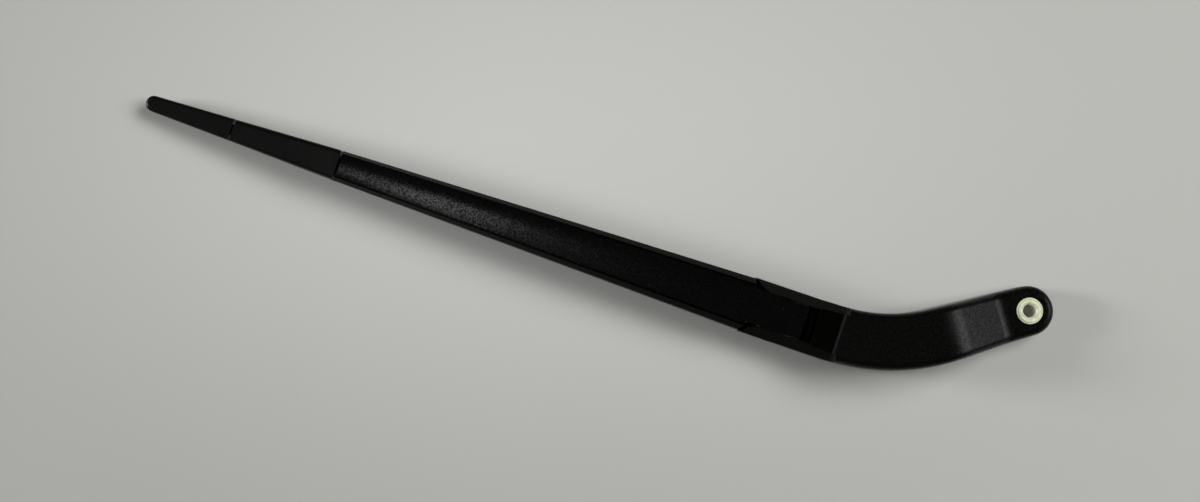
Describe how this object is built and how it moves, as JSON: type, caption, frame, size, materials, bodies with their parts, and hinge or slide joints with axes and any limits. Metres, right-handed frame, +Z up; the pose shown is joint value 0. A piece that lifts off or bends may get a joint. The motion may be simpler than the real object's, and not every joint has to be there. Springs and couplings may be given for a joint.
{
  "type": "rear wiper arm",
  "caption": "Rear window wiper arm: cast spindle head with a hinged, spring-loaded channel arm and a yoke-type blade with a rubber lip beneath it.",
  "frame": {"origin": "on the spindle axis, level with the glass plane that the rubber lip touches, which is also the head's foot", "axes": "+X along the straight arm towards the blade's tip, +Z up along the spindle away from the car, +Y completes the set"},
  "size_m": [0.5662, 0.0837, 0.032],
  "materials": {
    "cast_head": "grained satin black coating",
    "arm_plastic": "finely grained matte black",
    "blade_plastic": "smooth satin dark grey",
    "bush_plastic": "moulded plain grey",
    "zinc_insert": "bright pale yellow zinc plate",
    "steel_pin": "ground steel",
    "spring_steel": "oiled dark spring wire",
    "link_steel": "stamped zinc-plated steel",
    "strip_steel": "rolled stainless strip",
    "wiper_rubber": "matte black rubber"
  },
  "bodies": {
    "head": {"arm_head": "cast_head", "spindle_insert": "zinc_insert", "hinge_pin_near": "steel_pin", "hinge_pin_far": "steel_pin", "spring_hook_pin": "steel_pin"},
    "arm": {"arm_channel": "arm_plastic", "hinge_bush_near": "bush_plastic", "hinge_bush_far": "bush_plastic", "spring_anchor_pin": "steel_pin", "blade_pivot_pin": "steel_pin"},
    "link": {"spring_link": "link_steel", "tension_spring": "spring_steel"},
    "blade": {"blade_bridge": "blade_plastic", "blade_adapter": "bush_plastic", "outer_yoke_pin": "steel_pin", "inner_yoke_pin": "steel_pin", "wiper_rubber": "wiper_rubber", "support_strip_near": "strip_steel", "support_strip_far": "strip_steel"},
    "outer": {"outer_yoke": "blade_plastic"},
    "inner": {"inner_yoke": "blade_plastic"}
  },
  "joints": [
    {"name": "arm_hinge", "type": "hinge", "parent": "head", "child": "arm", "pos_m": [0.146, 0.0515, 0.0165], "axis": [0, -1, 0], "range_deg": [0, 60], "stiffness_Nm_per_rad": 0.4, "springref_deg": -143.24, "deforming": ["tension_spring"]},
    {"name": "link_hinge", "type": "hinge", "parent": "head", "child": "link", "pos_m": [0.138, 0.0515, 0.008], "axis": [0, -1, 0], "range_deg": [0, 54], "deforming": ["tension_spring"]},
    {"name": "blade_pivot", "type": "hinge", "parent": "arm", "child": "blade", "pos_m": [0.401, 0.0515, 0.014], "axis": [0, -1, 0], "range_deg": [-3.5, 8]},
    {"name": "outer_yoke_pivot", "type": "hinge", "parent": "blade", "child": "outer", "pos_m": [0.4898, 0.0515, 0.0126], "axis": [0, -1, 0], "range_deg": [-4, 4], "deforming": ["wiper_rubber", "support_strip_near", "support_strip_far"]},
    {"name": "inner_yoke_pivot", "type": "hinge", "parent": "blade", "child": "inner", "pos_m": [0.3122, 0.0515, 0.0126], "axis": [0, -1, 0], "range_deg": [-4, 4], "deforming": ["wiper_rubber", "support_strip_near", "support_strip_far"]}
  ],
  "couplings": [
    {"joint": "link_hinge", "follows": "arm_hinge", "ratio": 0.8966}
  ]
}
